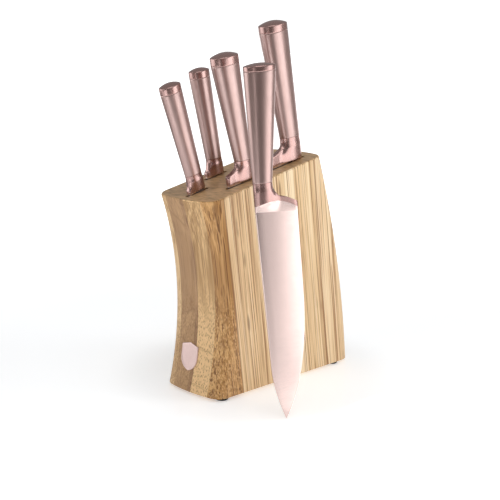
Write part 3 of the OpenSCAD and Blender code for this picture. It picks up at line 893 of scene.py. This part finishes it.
def shield(scale):
    """The badge's outline across and up, from its low peak round both sides."""
    side, low, shoulder, peak = BADGE_W / 2, -BADGE_H / 2, BADGE_H * 0.4, BADGE_H / 2
    half = [(0.0, peak), (side * 0.5, (peak + shoulder) / 2), (side, shoulder), (side, shoulder * 0.5)]
    half += [tuple(p) for p in bezier((side, 0), (side, low * 0.75), (0, low), 9)]
    full = half + [(-a, b) for a, b in reversed(half[1:-1])]
    return [(a * scale, b * scale) for a, b in full]


def badge_ring(scale, height):
    out = []
    for a, b in shield(scale):
        p = Matrix.Rotation(tilt, 3, "Y") @ Vector((-height, a, b))
        out.append((face_x + p.x, mid_y + p.y, mid_z + p.z))
    return out


# Rings of the badge as scale and height above the wood: side, raised rim, sunk face
levels = [(1.0, -1.8), (1.0, 0.75), (0.985, 1.02), (0.955, 1.17), (0.90, 1.18), (0.872, 1.02), (0.86, 0.86),
          (0.84, 0.82), (0.6, 0.88), (0.3, 0.95), (0.05, 0.97)]
verts, faces = loft([badge_ring(s, h) for s, h in levels])
badge = make_mesh("badge_detail", verts, faces, [badge_mat], sharp=34, weighted=False)
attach(badge, "block")
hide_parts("badge")


# ---------------------------------------------------------------- floor, light, camera
floor_t = Tree("floor")
floor_pos = floor_t.add("ShaderNodeTexCoord").outputs["Object"]
floor_tone = floor_t.mix(floor_t.noise(floor_pos, 3, 2), (0.86, 0.89, 0.92, 1), (0.88, 0.91, 0.94, 1))
floor_t.shader(Base_Color=floor_tone, Roughness=0.12, Specular_IOR_Level=0.15)
floor_t.bsdf.inputs["Emission Color"].default_value = (1, 1, 1, 1)
# The floor glows to white away from the object; close to it the glow is cut, a painted contact shadow
away = floor_t.add("ShaderNodeVectorMath", operation="LENGTH")
floor_t.put(away.inputs[0], floor_pos)
floor_glow = floor_t.span(away.outputs["Value"], 0.3, 1.1, 0.50, 1.1)
painted_contact_shadow = floor_t.span(away.outputs["Value"], 0.10, 0.17, 0.10, 0.0)
floor_t.put(floor_t.bsdf.inputs["Emission Strength"], floor_t.minus(floor_glow, painted_contact_shadow))
floor_z = cad_lo.z
FLOOR_HALF = 14.0
mesh = bpy.data.meshes.new("floor")
mesh.from_pydata([(x * FLOOR_HALF, y * FLOOR_HALF, floor_z) for x, y in ((-1, -1), (1, -1), (1, 1), (-1, 1))],
                 [], [(0, 1, 2, 3)])
mesh.materials.append(floor_t.mat)
floor = bpy.data.objects.new("floor", mesh)
bpy.context.scene.collection.objects.link(floor)

world = bpy.data.worlds.new("studio")
bpy.context.scene.world = world
world.use_nodes = True
world.node_tree.nodes["Background"].inputs[0].default_value = (1, 1, 1, 1)
world.node_tree.nodes["Background"].inputs[1].default_value = 0.38


def area(name, place, target, size, energy, tint=(1, 1, 1)):
    light = bpy.data.lights.new(name, "AREA")
    light.shape = "RECTANGLE"
    light.size, light.size_y = size
    light.energy = energy
    light.color = tint
    o = bpy.data.objects.new(name, light)
    o.location = place
    o.rotation_mode = "QUATERNION"
    o.rotation_quaternion = (Vector(target) - Vector(place)).to_track_quat("-Z", "Y")
    bpy.context.scene.collection.objects.link(o)
    return o


FLAG_TINT = (1.0, 0.93, 0.90, 1)


def panel(name, place, target, size, level, level_right=None, tint=FLAG_TINT, fade=(-0.35, 0.1)):
    """A studio panel seen only in reflections: a dark flag, or a light.

    level is its brightness. With level_right it runs from level to level_right across the width,
    between the two places in fade, given as shares of the width from the middle."""
    z = (Vector(place) - Vector(target)).normalized()
    x = Vector((0, 0, 1)).cross(z).normalized()
    y = z.cross(x)
    t = Tree(name)
    t.shader(Base_Color=(0, 0, 0, 1), Roughness=1.0)
    t.bsdf.inputs["Specular IOR Level"].default_value = 0.0
    t.bsdf.inputs["Emission Color"].default_value = tint
    side = t.dot(t.add("ShaderNodeTexCoord").outputs["Object"], tuple(x))
    middle = x.dot(Vector(place))
    start, end = (middle + size[0] * share for share in fade)
    if level_right is None:
        level_right = level
    t.put(t.bsdf.inputs["Emission Strength"], t.span(side, start, end, level, level_right))
    c = Vector(place)
    corners = [c + x * a * size[0] / 2 + y * b * size[1] / 2 for a, b in ((-1, -1), (1, -1), (1, 1), (-1, 1))]
    m = bpy.data.meshes.new(name)
    m.from_pydata([tuple(p) for p in corners], [], [(0, 1, 2, 3)])
    m.materials.append(t.mat)
    o = bpy.data.objects.new(name, m)
    bpy.context.scene.collection.objects.link(o)
    o.visible_camera = False
    o.visible_diffuse = False
    o.visible_shadow = False
    return o


def around(degrees, distance, height):
    """A place round the object; 0 degrees is +X."""
    a = math.radians(degrees)
    return (distance * math.cos(a), distance * math.sin(a), height)


def softbox(name, degrees, distance, height, size, radiance):
    place = around(degrees, distance, height)
    return area(name, place, (0, 0, 0.2), size, radiance * math.pi * size[0] * size[1])


COOL = (0.94, 1.0, 1.02, 1)
WHITE = (1, 1, 1, 1)


def screen(name, degrees, distance, width, height, level, **look):
    """A panel standing on the floor and facing the object."""
    x, y, z = around(degrees, distance, floor_z + height / 2)
    return panel(name, (x, y, z), (0, 0, z), (width, height), level, **look)


softbox("right_box", -50, 1.7, 0.60, (0.62, 1.6), 2.7)
softbox("left_box", 172, 1.7, 0.55, (0.5, 1.6), 2.4)
softbox("top_box", -110, 0.9, 1.8, (1.2, 1.2), 1.5)
screen("front_flag", -118, 0.60, 0.52, 0.55, 0.20)
screen("left_flag", -172, 0.68, 0.60, 0.50, 0.20)
screen("right_flag", -27, 0.80, 0.66, 0.60, 0.38)
screen("back_flag", 100, 0.50, 0.24, 0.40, 0.35)
screen("right_light", -66, 0.80, 0.38, 0.60, 2.6, tint=COOL)
panel("left_light", around(134, 0.75, 0.36), (0, 0, 0.36), (0.52, 0.56), 2.1, tint=COOL)
panel("floor_light", (-0.52, -0.19, floor_z + 0.01), (-0.40, -0.15, 0.8), (0.30, 0.20), 3.0, tint=COOL)
panel("floor_flag", (-0.36, 0.46, floor_z + 0.01), (-0.34, 0.40, 0.8), (0.50, 0.50), 0.25)
# What the flat of the chef's blade mirrors, from heel to tip
panel("blade_light", (0.01, -0.47, 0.115), (0.01, 0, 0.115), (0.30, 0.23),
      0.72, 2.3, WHITE, (-0.35, -0.13))
panel("blade_fade", (-0.02, -0.32, floor_z + 0.004), (-0.02, -0.27, 0.8), (0.22, 0.27),
      0.80, 2.1, WHITE, (-0.41, -0.04))
panel("tip_light", (-0.02, -0.155, floor_z + 0.004), (-0.02, -0.105, 0.8), (0.22, 0.06),
      1.15, 2.1, WHITE, (-0.41, -0.04))

# A white room that only the camera sees
backdrop_t = Tree("backdrop")
backdrop_t.shader(Base_Color=(0, 0, 0, 1), Roughness=1.0)
backdrop_t.bsdf.inputs["Emission Color"].default_value = (1, 1, 1, 1)
backdrop_t.bsdf.inputs["Emission Strength"].default_value = 1.1
BACKDROP_HALF, BACKDROP_TOP = 13.0, 26.0
mesh = bpy.data.meshes.new("backdrop")
mesh.from_pydata([(x * BACKDROP_HALF, y * BACKDROP_HALF, z) for z in (floor_z - 0.5, BACKDROP_TOP)
                  for x, y in ((-1, -1), (1, -1), (1, 1), (-1, 1))], [],
                 [(0, 1, 5, 4), (1, 2, 6, 5), (2, 3, 7, 6), (3, 0, 4, 7), (4, 5, 6, 7)])
mesh.materials.append(backdrop_t.mat)
backdrop = bpy.data.objects.new("backdrop", mesh)
bpy.context.scene.collection.objects.link(backdrop)
backdrop.visible_diffuse = False
backdrop.visible_glossy = False
backdrop.visible_transmission = False
backdrop.visible_shadow = False

camera_data = bpy.data.cameras.new("camera")
camera = bpy.data.objects.new("camera", camera_data)
bpy.context.scene.collection.objects.link(camera)
bpy.context.scene.camera = camera
camera_data.sensor_width = 36.0
camera_data.lens = 72.01728
azimuth, elevation = math.radians(-43.99), math.radians(12.19)
back = Vector((math.sin(azimuth) * math.cos(elevation), -math.cos(azimuth) * math.cos(elevation),
               math.sin(elevation)))
camera.location = (-0.6958, -0.70506, 0.34027)
camera.rotation_mode = "QUATERNION"
camera.rotation_quaternion = (-back).to_track_quat("-Z", "Y")
bpy.context.scene.view_settings.view_transform = "Standard"
